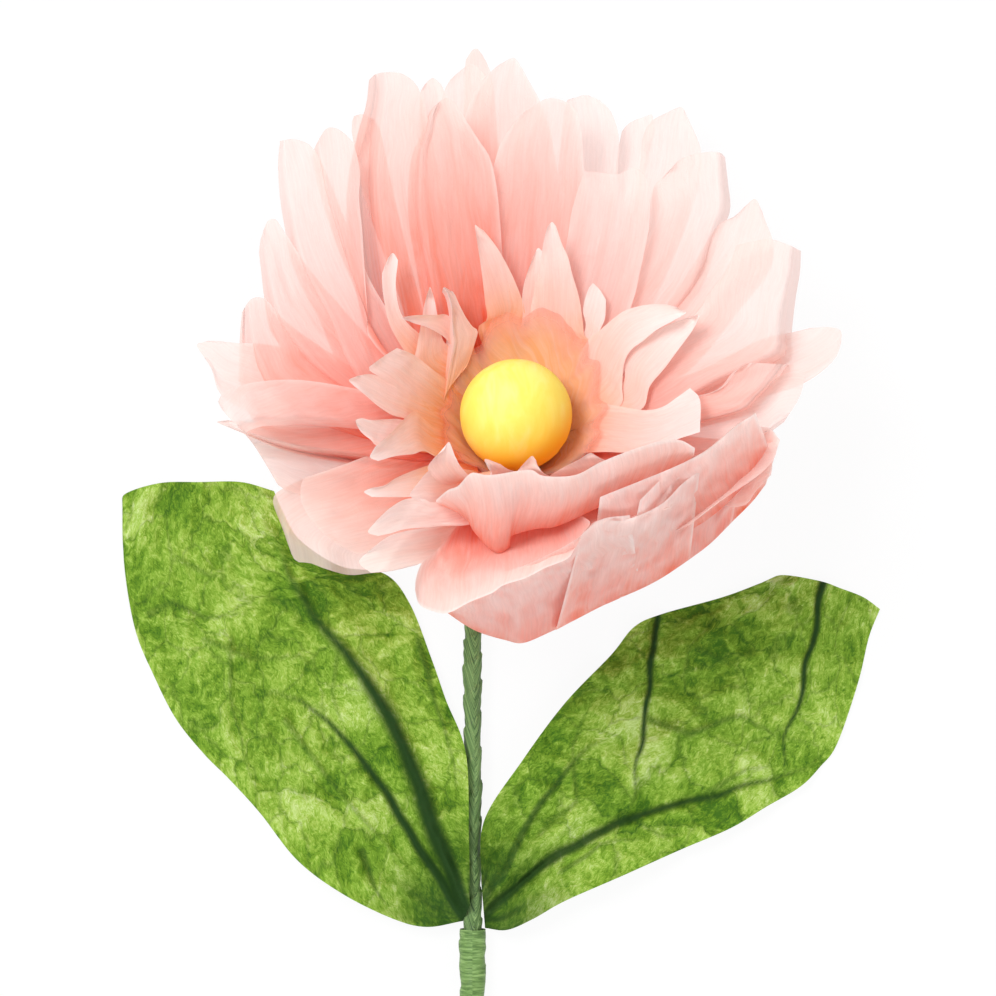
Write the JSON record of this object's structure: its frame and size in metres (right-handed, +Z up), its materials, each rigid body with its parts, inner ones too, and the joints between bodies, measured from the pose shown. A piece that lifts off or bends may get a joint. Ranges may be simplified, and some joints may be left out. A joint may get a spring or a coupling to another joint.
{
  "type": "paper dahlia on a stem",
  "caption": "Handmade paper dahlia with a covered ball centre, fringed and layered tissue petals, a taped wire stem and broad leaves.",
  "frame": {"origin": "middle of the whole flower's footprint, on the surface that it lies on", "axes": "+Z up; +Y from the stem's cut end towards the head; +X to the right seen from above"},
  "size_m": [0.22, 0.3284, 0.1033],
  "materials": {
    "pink_tissue_paper": "matte",
    "yellow_tissue_paper": "matte",
    "yellow_ball_paper": "satin",
    "green_leaf_paper": "matte",
    "green_stem_tape": "satin",
    "green_joint_tape": "satin",
    "galvanised_wire": "satin"
  },
  "bodies": {
    "root": {"center_ball": "yellow_ball_paper", "yellow_collar": "yellow_tissue_paper", "inner_fringe": "pink_tissue_paper", "outer_fringe": "pink_tissue_paper", "petal_01": "pink_tissue_paper", "petal_02": "pink_tissue_paper", "petal_03": "pink_tissue_paper", "petal_04": "pink_tissue_paper", "petal_05": "pink_tissue_paper", "petal_06": "pink_tissue_paper", "petal_07": "pink_tissue_paper", "petal_08": "pink_tissue_paper", "petal_09": "pink_tissue_paper", "petal_10": "pink_tissue_paper", "petal_11": "pink_tissue_paper", "petal_12": "pink_tissue_paper", "petal_13": "pink_tissue_paper", "petal_14": "pink_tissue_paper", "petal_15": "pink_tissue_paper", "petal_16": "pink_tissue_paper", "petal_17": "pink_tissue_paper", "petal_18": "pink_tissue_paper", "petal_19": "pink_tissue_paper", "petal_20": "pink_tissue_paper", "petal_21": "pink_tissue_paper", "petal_22": "pink_tissue_paper", "petal_23": "pink_tissue_paper", "petal_24": "pink_tissue_paper", "petal_25": "pink_tissue_paper", "petal_26": "pink_tissue_paper", "petal_27": "pink_tissue_paper", "petal_28": "pink_tissue_paper", "petal_29": "pink_tissue_paper", "petal_30": "pink_tissue_paper", "petal_31": "pink_tissue_paper", "petal_32": "pink_tissue_paper", "petal_33": "pink_tissue_paper", "petal_34": "pink_tissue_paper", "petal_35": "pink_tissue_paper", "petal_36": "pink_tissue_paper", "petal_37": "pink_tissue_paper", "petal_38": "pink_tissue_paper", "petal_39": "pink_tissue_paper", "head_binding": "green_stem_tape", "stem_wire": "galvanised_wire", "stem_tape": "green_stem_tape", "leaf_joint_tape": "green_joint_tape", "leaf_left": "green_leaf_paper", "leaf_right": "green_leaf_paper"}
  },
  "joints": []
}
